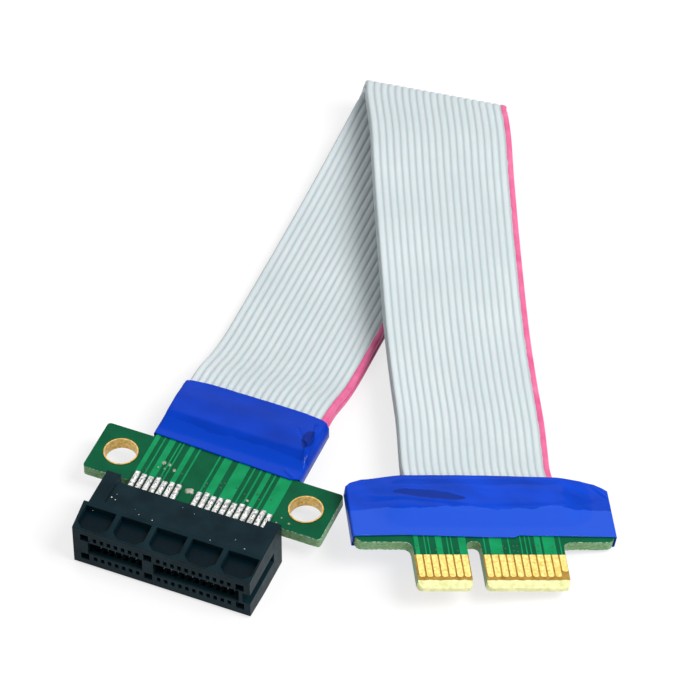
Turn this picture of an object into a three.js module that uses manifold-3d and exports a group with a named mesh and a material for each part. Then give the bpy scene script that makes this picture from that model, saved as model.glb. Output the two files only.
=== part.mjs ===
// One-lane riser cable: a keyed slot socket on a small board, a pair of flat ribbon cables that
// fold back over themselves, and a board with a card edge at the other end. It lies on a table.
// Millimetres, +Z up. The origin is the middle of the socket's underside, on the table.
// +X runs along the socket towards its long group of contacts, +Y from the mouth to the ribbons.
import * as THREE from 'three';
import { mergeVertices } from 'three/addons/utils/BufferGeometryUtils.js';
import Module from 'manifold-3d';

const wasm = await Module();
wasm.setup();

// Contacts and card edge, measured from the middle of the key
const contactPitch = 1.0;
const shortGroup = 7;               // contacts on the short side of the key
const longGroup = 11;               // contacts on the long side of the key
const keyToContact = 1.5;           // middle of the key to the first contact on each side
const boardThickness = 1.6;

// Socket housing
const shortEndWall = 2.85;          // last contact of the short group to the housing's end
const longEndWall = 2.95;           // last contact of the long group to the housing's end
const socketDepth = 10.4;
const socketHeight = 7.4;
const collarDepth = 4.5;            // front part, wider on the short group's side
const collarStep = 0.65;            // how far the collar stands out past the end
const collarTaper = 0.35;           // how much narrower the collar is at its front
const collarDrop = 0.4;             // fall of the collar's top and underside to the front face
const slotClearance = 0.15;         // round a card that is plugged in
const slotShort = 0.1;              // the slot stops short of the card's shoulders by this
const slotLeadIn = 0.15;            // widening of the slot at its mouth
const slotSpareShort = 0.2;         // slot past a card's tab on the short group's side
const slotSpareLong = 0.75;
const cavityWidth = 0.5;
const cavityReach = 2.15;           // from the slot's middle to the roof of a contact cavity
const cavityRim = 0.35;             // web between the slot and the cavities in the front face
const cavityRimDepth = 0.7;
const blindWidth = 1.15;            // blind cavities at both ends and at the key
const blindDepth = 2.2;
const blindStep = 1.5;              // last contact to the blind cavity's middle
const blindFloor = 1.25;            // near edge of a blind cavity from the slot's middle
const blindRoof = 2.35;             // far edge of a blind cavity from the slot's middle
const pocketCount = 5;              // shallow pockets in the top and the underside of the collar
const pocketMargin = 0.25;          // end of the collar's front to the first pocket
const pocketRib = 0.7;              // between two pockets
const pocketSink = 0.55;
const pocketLip = 0.3;
const pocketWeb = 0.6;              // rear edge of a pocket to the collar's rear
const pocketChamfer = 0.9;
const earReach = 1.3;               // the two rear ears stand back past the tails' wall
const earWidth = 2.0;
const endGrooveRear = 2.6;          // end of the end groove to the housing's rear
const endGrooveHeight = 1.7;
const endGrooveSink = 1.1;
const seamWidth = 0.15;             // fine groove in the top, in line with the ear
const seamSink = 0.15;
const seamGap = 0.6;                // seam to the collar's rear

// Contacts, stamped from strip and bent
const contactWidth = 0.34;
const contactStock = 0.2;
const contactSetback = 1.9;         // tip behind the housing's front
const contactTip = 0.65;            // length of the sloping tip
const contactTipDrop = 0.2;         // tip below the cavity's roof
const contactNose = 0.8;            // length that touches the card
const contactNoseDrop = 0.12;       // nose nearer to the card than the tail's level
const contactSlope = 2.2;           // length that rises to the roof
const tailCrank = 0.8;              // length that falls to the tail
const tailCrankEnd = 0.1;           // end of the crank to the tails' wall
const tailLength = 4.2;             // part of the tail that lies on its pad
const tailGap = 0.05;

// Socket board
const slotLevel = 3.7;              // middle of the slot and of the socket board above the table
const wingReach = 4.6;              // how far each wing stands out past the housing
const wingGap = 1.75;               // housing's rear to the wings
const wingDepth = 8.35;
const wingFillet = 0.6;
const neckMargin = 0.3;             // neck under the tape past the ribbons on each side
const neckLength = 6.7;             // neck behind the wings
const boardToSocket = 0.15;
const holeToEnd = 3.7;              // middle of a hole to the end of its wing
const holeBore = 4.3;
const holePlating = 0.25;
const platingProud = 0.06;
const padWidth = 0.66;
const padLength = 4.5;
const padRise = 0.08;

// Edge board, measured from the middle of its key notch at the tip of the card edge
const tabMarginShort = 0.65;        // last finger's middle to the side of the tab
const tabMarginLong = 0.45;
const shoulderShort = 7.35;         // side of the tab to the end of the board
const shoulderLong = 7.05;
const tabDepth = 7.5;
const boardBehindTab = 8.3;
const notchWidth = 1.9;
const notchBeyondTab = 0.15;        // the notch is this much deeper than the tab
const shoulderFillet = 1.2;
const tipRadius = 0.9;
const bevelLength = 1.25;
const bevelSink = 0.5;
const fingerWidth = 0.74;
const fingerFront = 1.55;
const fingerLength = 3.7;
const fingerRise = 0.05;
const lastFingerCut = 0.9;          // the last finger of the long group starts this much later
const edgeOrigin = [39.27, 7.65, 4.66];
const edgeTurn = 29.2;              // degrees about +Z
const edgeRoll = 8.0;               // degrees, right end down

// Ribbon cables
const conductorCount = 20;
const conductorPitch = 1.0;
const ribbonThickness = 0.8;
const ribbonGap = 0.3;              // between the two ribbons
const ribbonSeat = 0.15;            // between a ribbon and the board that it lies on
const ribbonStepsPerPoint = 2;
const ribbonEdgeSides = 4;

// Insulating tape
const tapeThickness = 0.15;
const tapeGap = 0.15;
const tapeOverhang = 3.9;           // socket tape past the end of the neck
const edgeTapeSetback = 0.95;       // edge tape behind the shoulders
const edgeTapeOverhang = 2.75;      // edge tape past the end of the board
const tapeFold = 0.1;               // rounding of the tape's side edges
const tapeSlope = 2.2;              // how much wider than high the tape's side ramps are
const tapeRampGap = 0.2;            // full height is reached this far from the ribbons' end
const tapeRampRun = 2.4;
const tapePastBoard = 0.5;          // the tape starts to narrow this far past a board
const tapeRearLap = 0.45;           // lap of the ribbons at a tape's rear, as in the route
const tapeCornerLeft = 1.45;        // cut rear corners of the tape on the edge board
const tapeCornerRight = 2.1;
const tapeCornerRun = 2.2;

// Middle of the pair of ribbons, from the socket board to the edge board: x, y, z, then the
// turn and the lean in degrees of the line across the ribbons, then 1 where they lie on a board
const ribbonRoute = [
  [0.00, 19.80, 3.70, 0.0, 0.0, 1],
  [-0.03, 22.60, 3.70, 0.0, 0.0, 1],
  [-0.05, 24.80, 3.70, 0.0, 0.0, 0.45],
  [-0.08, 26.80, 3.66, 0.0, 0.0, 0.1],
  [-0.10, 29.30, 3.40, 0.0, 0.0, 0],
  [-0.13, 31.30, 2.75, 0.0, 0.0, 0],
  [-0.15, 33.30, 2.05, 0.0, 0.0, 0],
  [-0.17, 35.80, 1.45, 0.0, 0.0, 0],
  [-0.21, 38.80, 1.10, 0.0, 0.0, 0],
  [-0.25, 42.80, 1.00, 0.0, 0.0, 0],
  [-0.31, 53.90, 1.00, 0.5, 0.2, 0],
  [-0.37, 65.00, 1.15, 2.0, 1.2, 0],
  [-0.42, 74.80, 1.50, 5.5, 2.6, 0],
  [-0.46, 82.00, 1.90, 9.5, 4.0, 0],
  [-0.49, 87.30, 2.26, 12.3, 4.8, 0],
  [-0.47, 88.47, 2.51, 12.3, 4.8, 0],
  [-0.35, 89.24, 3.22, 12.3, 4.8, 0],
  [-0.11, 89.57, 4.19, 12.3, 4.8, 0],
  [0.25, 89.37, 5.17, 12.3, 4.8, 0],
  [0.68, 88.72, 5.88, 12.3, 4.8, 0],
  [1.18, 87.66, 6.14, 12.3, 4.8, 0],
  [4.20, 81.70, 6.30, 15.5, 6.5, 0],
  [7.60, 74.20, 6.00, 19.5, 8.0, 0],
  [11.69, 65.45, 5.40, 23.0, 9.5, 0],
  [15.67, 57.10, 4.75, 24.5, 10.0, 0],
  [19.64, 48.90, 4.15, 25.5, 9.8, 0],
  [23.86, 40.72, 3.72, 27.0, 9.2, 0],
  [27.33, 34.25, 3.50, 28.2, 8.6, 0],
  [31.00, 26.58, 3.57, 29.2, 8.0, 0],
  [32.02, 24.75, 3.57, 29.2, 8.0, 0.35],
  [33.04, 22.91, 3.57, 29.2, 8.0, 1],
  [34.41, 20.47, 3.57, 29.2, 8.0, 1],
];

const degree = Math.PI / 180;
const places = contactPlaces();
const shortReach = -places[0];
const longReach = places[places.length - 1];
const socketLength = shortEndWall + shortReach + longReach + longEndWall;
const keyOffset = shortEndWall + shortReach - socketLength / 2;
const socketFront = -socketDepth / 2;
const collarRear = socketFront + collarDepth;
const tailWall = socketDepth / 2 - earReach;
const boardFront = tailWall + boardToSocket;
const ribbonWidth = conductorCount * conductorPitch;
const neck = ribbonWidth / 2 + neckMargin;
const wing = socketLength / 2 + wingReach;
const wingFront = socketDepth / 2 + wingGap;
const wingRear = wingFront + wingDepth;
const neckRear = wingRear + neckLength;
const holePlace = [wing - holeToEnd, (wingFront + wingRear) / 2];
const tabLeft = shortReach + tabMarginShort;
const tabRight = longReach + tabMarginLong;
const edgeLeft = tabLeft + shoulderShort;
const edgeRight = tabRight + shoulderLong;
const edgeDepth = tabDepth + boardBehindTab;
const lapOffset = (boardThickness + ribbonThickness) / 2 + ribbonSeat;
const stackOffset = (ribbonThickness + ribbonGap) / 2;

const housingPlastic = new THREE.MeshStandardMaterial({ color: 0x15252c, roughness: 0.45, metalness: 0 });
const boardGreen = new THREE.MeshStandardMaterial({ color: 0x0a6b3c, roughness: 0.35, metalness: 0 });
const goldPlate = new THREE.MeshStandardMaterial({ color: 0xd9a83c, roughness: 0.25, metalness: 1 });
const tinnedMetal = new THREE.MeshStandardMaterial({ color: 0xc9ccd0, roughness: 0.3, metalness: 1 });
const ribbonGrey = new THREE.MeshStandardMaterial({ color: 0xcfd6d8, roughness: 0.5, metalness: 0 });
const tapeBlue = new THREE.MeshStandardMaterial({ color: 0x1440c8, roughness: 0.2, metalness: 0 });

// Distances of all contacts from the middle of the key, along the socket or the card edge.
function contactPlaces() {
  const places = [];
  for (let i = shortGroup - 1; i >= 0; i--) places.push(-keyToContact - i * contactPitch);
  for (let i = 0; i < longGroup; i++) places.push(keyToContact + i * contactPitch);
  return places;
}

// Turns a closed geometry into a solid that can be cut and joined.
function solidOf(geometry) {
  geometry.deleteAttribute('normal');
  geometry.deleteAttribute('uv');
  const merged = mergeVertices(geometry, 1e-5);
  const vertProperties = new Float32Array(merged.attributes.position.array);
  const triVerts = new Uint32Array(merged.index.array);
  return new wasm.Manifold(new wasm.Mesh({ numProp: 3, vertProperties, triVerts }));
}

// Turns a solid back into a geometry.
function geometryOf(solid) {
  const mesh = solid.getMesh();
  const geometry = new THREE.BufferGeometry();
  geometry.setAttribute('position', new THREE.BufferAttribute(new Float32Array(mesh.vertProperties), 3));
  geometry.setIndex(new THREE.BufferAttribute(new Uint32Array(mesh.triVerts), 1));
  geometry.computeVertexNormals();
  return geometry;
}

// A block given by its limits on each axis.
function block(x0, x1, y0, y1, z0, z1) {
  const geometry = new THREE.BoxGeometry(x1 - x0, y1 - y0, z1 - z0);
  geometry.translate((x0 + x1) / 2, (y0 + y1) / 2, (z0 + z1) / 2);
  return solidOf(geometry);
}

// A flat outline in x and y, raised from z0 to z1.
function plate(shape, z0, z1, curveSegments = 8) {
  const geometry = new THREE.ExtrudeGeometry(shape, { depth: z1 - z0, bevelEnabled: false, curveSegments });
  geometry.translate(0, 0, z0);
  return solidOf(geometry);
}

// An outline in y and z, drawn out along x from x0 to x1.
function bar(points, x0, x1) {
  const shape = new THREE.Shape(points.map(([y, z]) => new THREE.Vector2(y, z)));
  const geometry = new THREE.ExtrudeGeometry(shape, { depth: x1 - x0, bevelEnabled: false });
  geometry.applyMatrix4(new THREE.Matrix4().set(0, 0, 1, x0, 1, 0, 0, 0, 0, 1, 0, 0, 0, 0, 0, 1));
  return solidOf(geometry);
}

// A closed outline with rounded corners, from corner points with a radius each.
function roundedOutline(corners) {
  const shape = new THREE.Shape();
  const count = corners.length;
  corners.forEach(([x, y, radius], i) => {
    const corner = new THREE.Vector2(x, y);
    const before = new THREE.Vector2(...corners[(i + count - 1) % count]);
    const after = new THREE.Vector2(...corners[(i + 1) % count]);
    const start = before.sub(corner).setLength(radius).add(corner);
    const end = after.sub(corner).setLength(radius).add(corner);
    if (i === 0) shape.moveTo(start.x, start.y);
    else shape.lineTo(start.x, start.y);
    if (radius > 0) shape.quadraticCurveTo(x, y, end.x, end.y);
  });
  shape.closePath();
  return shape;
}

// Outer form of the housing: a collar in front, a narrower rear part and two ears over the board.
function housingBlank() {
  const half = socketLength / 2;
  const wide = half + collarStep;
  const earInside = half - earWidth;
  const outline = new THREE.Shape([
    [-wide + collarTaper, socketFront], [half, socketFront], [half, socketDepth / 2],
    [earInside, socketDepth / 2], [earInside, tailWall], [-earInside, tailWall],
    [-earInside, socketDepth / 2], [-half, socketDepth / 2], [-half, collarRear], [-wide, collarRear],
  ].map(([x, y]) => new THREE.Vector2(x, y)));
  return plate(outline, 0, socketHeight);
}

// Wedges that take the collar's top and underside down to the front face.
function collarCuts() {
  const end = socketLength / 2 + collarStep + 1;
  const fall = collarDrop * (1 + 1 / collarDepth);
  return [[socketHeight, -1], [0, 1]].map(([face, inward]) => {
    const wedge = [[socketFront - 1, face + inward * fall], [collarRear, face], [socketFront - 1, face - inward]];
    return bar(wedge, -end, end);
  });
}

// The slot for the card, with its flared mouth, on both sides of the key web.
function slotCuts() {
  const half = boardThickness / 2 + slotClearance;
  const mouth = half + slotLeadIn;
  const web = notchWidth / 2 - slotClearance;
  const outside = socketFront - 1;
  const slotRear = socketFront + tabDepth - slotShort;
  const profile = [
    [outside, slotLevel - mouth], [socketFront, slotLevel - mouth], [socketFront + slotLeadIn, slotLevel - half],
    [slotRear, slotLevel - half], [slotRear, slotLevel + half],
    [socketFront + slotLeadIn, slotLevel + half], [socketFront, slotLevel + mouth], [outside, slotLevel + mouth],
  ];
  const ends = [-tabLeft - slotClearance - slotSpareShort, tabRight + slotClearance + slotSpareLong];
  const left = bar(profile, keyOffset + ends[0], keyOffset - web);
  const right = bar(profile, keyOffset + web, keyOffset + ends[1]);
  return [left, right];
}

// A block above and one below the slot's middle, between two distances from it.
function pairOfBlocks(x0, x1, y0, y1, near, far) {
  return [1, -1].map((side) => {
    const levels = [slotLevel + side * near, slotLevel + side * far].sort((a, b) => a - b);
    return block(x0, x1, y0, y1, ...levels);
  });
}

// One contact cavity above and below the slot at each contact, open at the mouth and at the tails.
// In the front face a web parts it from the slot.
function cavityCuts() {
  const rimRear = socketFront + cavityRimDepth;
  const rimTop = boardThickness / 2 + slotClearance + slotLeadIn + cavityRim;
  return places.flatMap((place) => {
    const x0 = keyOffset + place - cavityWidth / 2;
    const x1 = x0 + cavityWidth;
    return [
      ...pairOfBlocks(x0, x1, socketFront - 1, tailWall + 1, rimTop, cavityReach),
      ...pairOfBlocks(x0, x1, rimRear, tailWall + 1, boardThickness / 2, cavityReach),
    ];
  });
}

// Blind cavities in the front face, at both ends of the rows and at the key.
function blindCuts() {
  const middles = [-shortReach - blindStep, 0, longReach + blindStep];
  return middles.flatMap((middle) => {
    const x0 = keyOffset + middle - blindWidth / 2;
    return pairOfBlocks(x0, x0 + blindWidth, socketFront - 1, socketFront + blindDepth, blindFloor, blindRoof);
  });
}

// Shallow pockets in the top and the underside of the collar, with cut front corners.
function pocketCuts() {
  const cuts = [];
  const start = -socketLength / 2 - collarStep + collarTaper + pocketMargin;
  const pitch = (socketLength / 2 - pocketMargin - start + pocketRib) / pocketCount;
  const front = socketFront + pocketLip;
  const rear = collarRear - pocketWeb;
  for (let i = 0; i < pocketCount; i++) {
    const x0 = start + i * pitch;
    const x1 = x0 + pitch - pocketRib;
    const outline = new THREE.Shape([
      [x0 + pocketChamfer, front], [x1 - pocketChamfer, front], [x1, front + pocketChamfer],
      [x1, rear], [x0, rear], [x0, front + pocketChamfer],
    ].map(([x, y]) => new THREE.Vector2(x, y)));
    cuts.push(plate(outline, socketHeight - collarDrop - pocketSink, socketHeight + 1));
    cuts.push(plate(outline, -1, collarDrop + pocketSink));
  }
  return cuts;
}

// A groove in the end on the long group's side, open at the front and level with the slot.
function endGrooveCut() {
  const half = socketLength / 2;
  const z0 = slotLevel - endGrooveHeight / 2;
  return block(half - endGrooveSink, half + 1, socketFront - 1, socketDepth / 2 - endGrooveRear, z0, z0 + endGrooveHeight);
}

// Fine groove in the top of the rear part, in line with the ear on the short group's side.
function seamCut() {
  const x0 = earWidth - socketLength / 2;
  const front = collarRear + seamGap;
  return block(x0, x0 + seamWidth, front, tailWall - seamGap, socketHeight - seamSink, socketHeight + 1);
}

function socketHousing() {
  const cuts = [
    ...slotCuts(), ...cavityCuts(), ...blindCuts(), ...collarCuts(), ...pocketCuts(), endGrooveCut(), seamCut(),
  ];
  return geometryOf(housingBlank().subtract(wasm.Manifold.union(cuts)));
}

// One contact, upper side: a bent strip with its tip at the mouth and its tail on the board.
function contactGeometry() {
  const tailLevel = boardThickness / 2 + padRise + tailGap + contactStock / 2;
  const roof = cavityReach - contactStock;
  const tip = socketFront + contactSetback;
  const nose = tip + contactTip;
  const noseLevel = tailLevel - contactNoseDrop;
  const crank = tailWall - tailCrankEnd;
  const bend = [
    [tip, roof - contactTipDrop], [nose, noseLevel], [nose + contactNose, noseLevel],
    [nose + contactNose + contactSlope, roof], [crank - tailCrank, roof], [crank, tailLevel],
    [boardFront + tailLength, tailLevel],
  ].map(([y, z]) => new THREE.Vector2(y, z));
  const offset = (side) => bend.map((point, i) => {
    const along = bend[Math.min(i + 1, bend.length - 1)].clone().sub(bend[Math.max(i - 1, 0)]).normalize();
    return [point.x - along.y * side * contactStock / 2, point.y + along.x * side * contactStock / 2];
  });
  const profile = [...offset(1), ...offset(-1).reverse()];
  const shape = new THREE.Shape(profile.map(([y, z]) => new THREE.Vector2(y, z)));
  const geometry = new THREE.ExtrudeGeometry(shape, { depth: contactWidth, bevelEnabled: false });
  geometry.translate(0, 0, -contactWidth / 2);
  geometry.applyMatrix4(new THREE.Matrix4().set(0, 0, 1, 0, 1, 0, 0, 0, 0, 1, 0, 0, 0, 0, 0, 1));
  return geometry;
}

// Both rows of contacts. The lower row is the upper one turned over about the socket's length.
function contactRows() {
  const group = new THREE.Group();
  places.forEach((place, i) => {
    const number = String(i + 1).padStart(2, '0');
    for (const row of ['upper', 'lower']) {
      const geometry = contactGeometry();
      if (row === 'lower') {
        geometry.scale(1, 1, -1);
        flipTriangles(geometry);
      }
      const contact = new THREE.Mesh(geometry, tinnedMetal.clone());
      contact.name = `${row}_contact_${number}`;
      contact.position.set(keyOffset + place, 0, slotLevel);
      group.add(contact);
    }
  });
  return group;
}

// Turns every triangle of a geometry without an index the other way round.
function flipTriangles(geometry) {
  const position = geometry.attributes.position;
  for (let i = 0; i < position.count; i += 3) {
    const first = new THREE.Vector3().fromBufferAttribute(position, i);
    const last = new THREE.Vector3().fromBufferAttribute(position, i + 2);
    position.setXYZ(i, last.x, last.y, last.z);
    position.setXYZ(i + 2, first.x, first.y, first.z);
  }
}

// Raised bars on both faces of a board, one at each contact place.
function lands(middle, width, spans, top, rise) {
  return places.flatMap((place, i) => {
    const x0 = middle + place - width / 2;
    return [0, boardThickness].map((depth) => block(x0, x0 + width, ...spans[i], top - depth - rise, top - depth + rise));
  });
}

function socketBoard() {
  const front = socketLength / 2 - earWidth - boardToSocket;
  const outline = roundedOutline([
    [-front, boardFront, 0], [front, boardFront, 0], [front, wingFront, 0], [wing, wingFront, wingFillet],
    [wing, wingRear, wingFillet], [neck, wingRear, 0], [neck, neckRear, 0], [-neck, neckRear, 0],
    [-neck, wingRear, 0], [-wing, wingRear, wingFillet], [-wing, wingFront, wingFillet], [-front, wingFront, 0],
  ]);
  for (const side of [-1, 1]) {
    const hole = new THREE.Path();
    hole.absarc(side * holePlace[0], holePlace[1], holeBore / 2 + holePlating, 0, 2 * Math.PI);
    outline.holes.push(hole);
  }
  const top = slotLevel + boardThickness / 2;
  const pads = lands(keyOffset, padWidth, places.map(() => [boardFront, boardFront + padLength]), top, padRise);
  return geometryOf(plate(outline, top - boardThickness, top, 16).add(wasm.Manifold.union(pads)));
}

// Gold-plated lining of one ear hole, just proud of both faces.
function holeLining() {
  const inner = holeBore / 2;
  const outer = inner + holePlating - platingProud;
  const half = boardThickness / 2 + platingProud;
  const profile = [[inner, -half], [outer, -half], [outer, half], [inner, half], [inner, -half]];
  const geometry = new THREE.LatheGeometry(profile.map(([r, y]) => new THREE.Vector2(r, y)), 32);
  geometry.rotateX(Math.PI / 2);
  return geometry;
}

// The card edge: shoulders, keyed tab with a bevelled tip, and gold fingers on both faces.
function edgeBoard() {
  const notch = notchWidth / 2;
  const notchDepth = tabDepth + notchBeyondTab;
  const outline = roundedOutline([
    [-tabLeft, 0, tipRadius], [-notch, 0, tipRadius], [-notch, notchDepth, notch], [notch, notchDepth, notch],
    [notch, 0, tipRadius], [tabRight, 0, tipRadius], [tabRight, tabDepth, shoulderFillet],
    [edgeRight, tabDepth, shoulderFillet], [edgeRight, edgeDepth, 0], [-edgeLeft, edgeDepth, 0],
    [-edgeLeft, tabDepth, shoulderFillet], [-tabLeft, tabDepth, shoulderFillet],
  ]);
  const bevels = [0, -boardThickness].map((face) => {
    const inward = face === 0 ? -1 : 1;
    const wedge = [[-1, face + inward * bevelSink * (1 + 1 / bevelLength)], [bevelLength, face], [-1, face - inward]];
    return bar(wedge, -edgeLeft, edgeRight);
  });
  const spans = places.map((place) => {
    const front = place === longReach ? fingerFront + lastFingerCut : fingerFront;
    return [front, fingerFront + fingerLength];
  });
  const blank = plate(outline, -boardThickness, 0, 4).subtract(wasm.Manifold.union(bevels));
  return geometryOf(blank.add(wasm.Manifold.union(lands(0, fingerWidth, spans, 0, fingerRise))));
}

// Route of one ribbon. Its stations keep the lines across the ribbon parallel in the fold,
// where the cable turns obliquely, so a flat section is carried round without a twist.
class RibbonPath extends THREE.Curve {
  constructor(route, side) {
    super();
    const middles = new THREE.CatmullRomCurve3(route.map(([x, y, z]) => new THREE.Vector3(x, y, z)));
    const settings = new THREE.CatmullRomCurve3(route.map(([, , , turn, lean, lap]) =>
      new THREE.Vector3(turn, lean, lap)), false, 'catmullrom', 0);
    this.stations = [];
    const count = (route.length - 1) * ribbonStepsPerPoint;
    for (let i = 0; i <= count; i++) this.stations.push(this.station(middles, settings, i / count, side));
  }

  station(middles, settings, t, side) {
    const setting = settings.getPoint(t);
    const turn = setting.x * degree;
    const lean = setting.y * degree;
    const across = new THREE.Vector3(Math.cos(lean) * Math.cos(turn), Math.cos(lean) * Math.sin(turn), -Math.sin(lean));
    const tangent = middles.getTangent(t);
    const skew = tangent.dot(across);
    const normal = across.clone().cross(tangent).normalize();
    const offset = side * (stackOffset + (lapOffset - stackOffset) * Math.min(Math.max(setting.z, 0), 1));
    const point = middles.getPoint(t).addScaledVector(normal, offset);
    return { point, tangent, normal, across: across.divideScalar(Math.sqrt(1 - skew * skew)) };
  }

  getPoint(t) {
    return this.stations[Math.round(t * (this.stations.length - 1))].point.clone();
  }

  getSpacedPoints() {
    return this.stations.map((station) => station.point.clone());
  }

  computeFrenetFrames() {
    return {
      tangents: this.stations.map((station) => station.tangent.clone()),
      normals: this.stations.map((station) => station.across.clone().negate()),
      binormals: this.stations.map((station) => station.normal.clone()),
    };
  }
}

// Flat section of a ribbon with round edges.
function ribbonSection() {
  const round = ribbonThickness / 2;
  const straight = ribbonWidth / 2 - round;
  const points = [];
  for (const side of [1, -1]) {
    for (let i = 0; i <= ribbonEdgeSides; i++) {
      const angle = side * (i / ribbonEdgeSides - 0.5) * Math.PI + (side > 0 ? 0 : Math.PI);
      const turned = side > 0 ? angle : 2 * Math.PI - angle;
      points.push(new THREE.Vector2(side * straight + round * Math.cos(turned), round * Math.sin(turned)));
    }
  }
  return new THREE.Shape(points);
}

function ribbon(side) {
  const path = new RibbonPath(ribbonRoute, side);
  return new THREE.ExtrudeGeometry(ribbonSection(), { steps: path.stations.length - 1, extrudePath: path });
}

// A thin open sleeve between rings of points, one ring of outer points at each station.
function sleeve(rings) {
  const inside = rings.map((ring) => ring.map(([x, y, z], k) => {
    const [xa, , za] = ring[(k + 1) % ring.length];
    const [xb, , zb] = ring[(k + ring.length - 1) % ring.length];
    const length = Math.hypot(xa - xb, za - zb);
    return [x - (zb - za) / length * tapeThickness, y, z - (xa - xb) / length * tapeThickness];
  }));
  const count = rings[0].length;
  const points = [...rings, ...inside].flat();
  const base = rings.length * count;
  const index = [];
  const quad = (a, b, c, d) => index.push(a, b, c, a, c, d);
  for (let k = 0; k < count; k++) {
    const next = (k + 1) % count;
    for (let i = 0; i + 1 < rings.length; i++) {
      const row = i * count;
      quad(row + k, row + next, row + count + next, row + count + k);
      quad(base + row + next, base + row + k, base + row + count + k, base + row + count + next);
    }
    const last = (rings.length - 1) * count;
    quad(next, k, base + k, base + next);
    quad(last + k, last + next, base + last + next, base + last + k);
  }
  const geometry = new THREE.BufferGeometry();
  geometry.setAttribute('position', new THREE.Float32BufferAttribute(points.flat(), 3));
  geometry.setIndex(index);
  geometry.computeVertexNormals();
  return geometry;
}

// One ring of a tape: flat over the board, raised where the ribbons lie under it. The bends list
// gives distances from both ends for more points, where the rear edge is cut off.
function tapeRing(y, left, right, middle, low, high, bends = [], rearCut = () => 0) {
  const reach = ribbonWidth / 2 + tapeGap + tapeThickness;
  const room = Math.min(middle - reach - left, right - middle - reach);
  const ramp = Math.min(high - low + tapeSlope, room - 1.5 * tapeFold);
  const flat = [tapeFold, ...bends];
  const raised = [middle - reach, middle - reach / 2, middle, middle + reach / 2, middle + reach];
  const points = [
    [left, low - tapeFold], ...flat.map((run) => [left + run, low]), [middle - reach - ramp, low],
    ...raised.map((x) => [x, high]),
    [middle + reach + ramp, low], ...flat.map((run) => [right - run, low]).reverse(), [right, low - tapeFold],
  ];
  const top = points.map(([x, z]) => [x, y - rearCut(x), z]);
  const under = points.map(([x, z]) => [x, y - rearCut(x), -z]).reverse();
  return [...under, ...top].reverse();
}

const tapeOver = tapeGap + tapeThickness;
const tapeOverBoard = boardThickness / 2 + tapeOver;
const tapeOverRibbon = lapOffset + ribbonThickness / 2 + tapeOver;
const tapeOverStack = stackOffset + (lapOffset - stackOffset) * tapeRearLap + ribbonThickness / 2 + tapeOver;

// Tape round the socket board's neck and the ribbons' ends.
function socketTape() {
  const half = neck + tapeOver;
  const full = ribbonRoute[0][1] - tapeRampGap;
  const ring = (y, low, high) => tapeRing(y, -half, half, 0, low, high);
  return sleeve([
    ring(wingRear + tapeGap, tapeOverBoard, tapeOverBoard), ring(full - tapeRampRun, tapeOverBoard, tapeOverBoard),
    ring(full, tapeOverStack, tapeOverRibbon), ring(neckRear + tapePastBoard, tapeOverStack, tapeOverRibbon),
    ring(neckRear + tapeOverhang, tapeOverStack, tapeOverStack),
  ]);
}

// Tape round the edge board and the ribbons' ends, with its two rear corners cut off.
function edgeTape(ribbonEnd) {
  const left = -edgeLeft - tapeOver;
  const right = edgeRight + tapeOver;
  const cut = (x) => {
    const fromLeft = Math.max(0, 1 - (x - left) / tapeCornerRun) * tapeCornerLeft;
    const fromRight = Math.max(0, 1 - (right - x) / tapeCornerRun) * tapeCornerRight;
    return fromLeft + fromRight;
  };
  const full = ribbonEnd.y - tapeRampGap;
  const bends = [tapeCornerRun];
  const ring = (y, high, rearCut) => tapeRing(y, left, right, ribbonEnd.x, tapeOverBoard, high, bends, rearCut);
  return sleeve([
    ring(tabDepth + edgeTapeSetback, tapeOverBoard), ring(full - tapeRampRun, tapeOverBoard),
    ring(full, tapeOverRibbon), ring(edgeDepth + tapePastBoard, tapeOverRibbon),
    ring(edgeDepth + edgeTapeOverhang, tapeOverStack, cut),
  ]);
}

function named(name, geometry, material) {
  const mesh = new THREE.Mesh(geometry, material.clone());
  mesh.name = name;
  return mesh;
}

const group = new THREE.Group();

group.add(named('socket_housing', socketHousing(), housingPlastic));
group.add(contactRows());
group.add(named('socket_board', socketBoard(), boardGreen));
for (const [name, side] of [['left_hole_lining', -1], ['right_hole_lining', 1]]) {
  const lining = named(name, holeLining(), goldPlate);
  lining.position.set(side * holePlace[0], holePlace[1], slotLevel);
  group.add(lining);
}
const firstTape = named('socket_tape', socketTape(), tapeBlue);
firstTape.position.z = slotLevel;
group.add(firstTape);

group.add(named('outer_ribbon', ribbon(-1), ribbonGrey));
group.add(named('inner_ribbon', ribbon(1), ribbonGrey));

const edgeEnd = new THREE.Group();
edgeEnd.rotation.set(0, edgeRoll * degree, edgeTurn * degree, 'ZYX');
edgeEnd.position.set(...edgeOrigin);
edgeEnd.updateMatrixWorld();
const ribbonEnd = edgeEnd.worldToLocal(new THREE.Vector3(...ribbonRoute[ribbonRoute.length - 1].slice(0, 3)));
edgeEnd.add(named('edge_board', edgeBoard(), boardGreen));
const secondTape = named('edge_tape', edgeTape(ribbonEnd), tapeBlue);
secondTape.position.z = -boardThickness / 2;
edgeEnd.add(secondTape);
group.add(edgeEnd);

export default group;
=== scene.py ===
"""Riser cable on a white table: a slot socket, two folded ribbon cables and a card edge.

All lengths are in metres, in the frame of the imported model.
"""
import logging
import math
from dataclasses import dataclass, field
from enum import Enum

import bmesh
import bpy
from mathutils import Euler, Matrix, Vector


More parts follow.
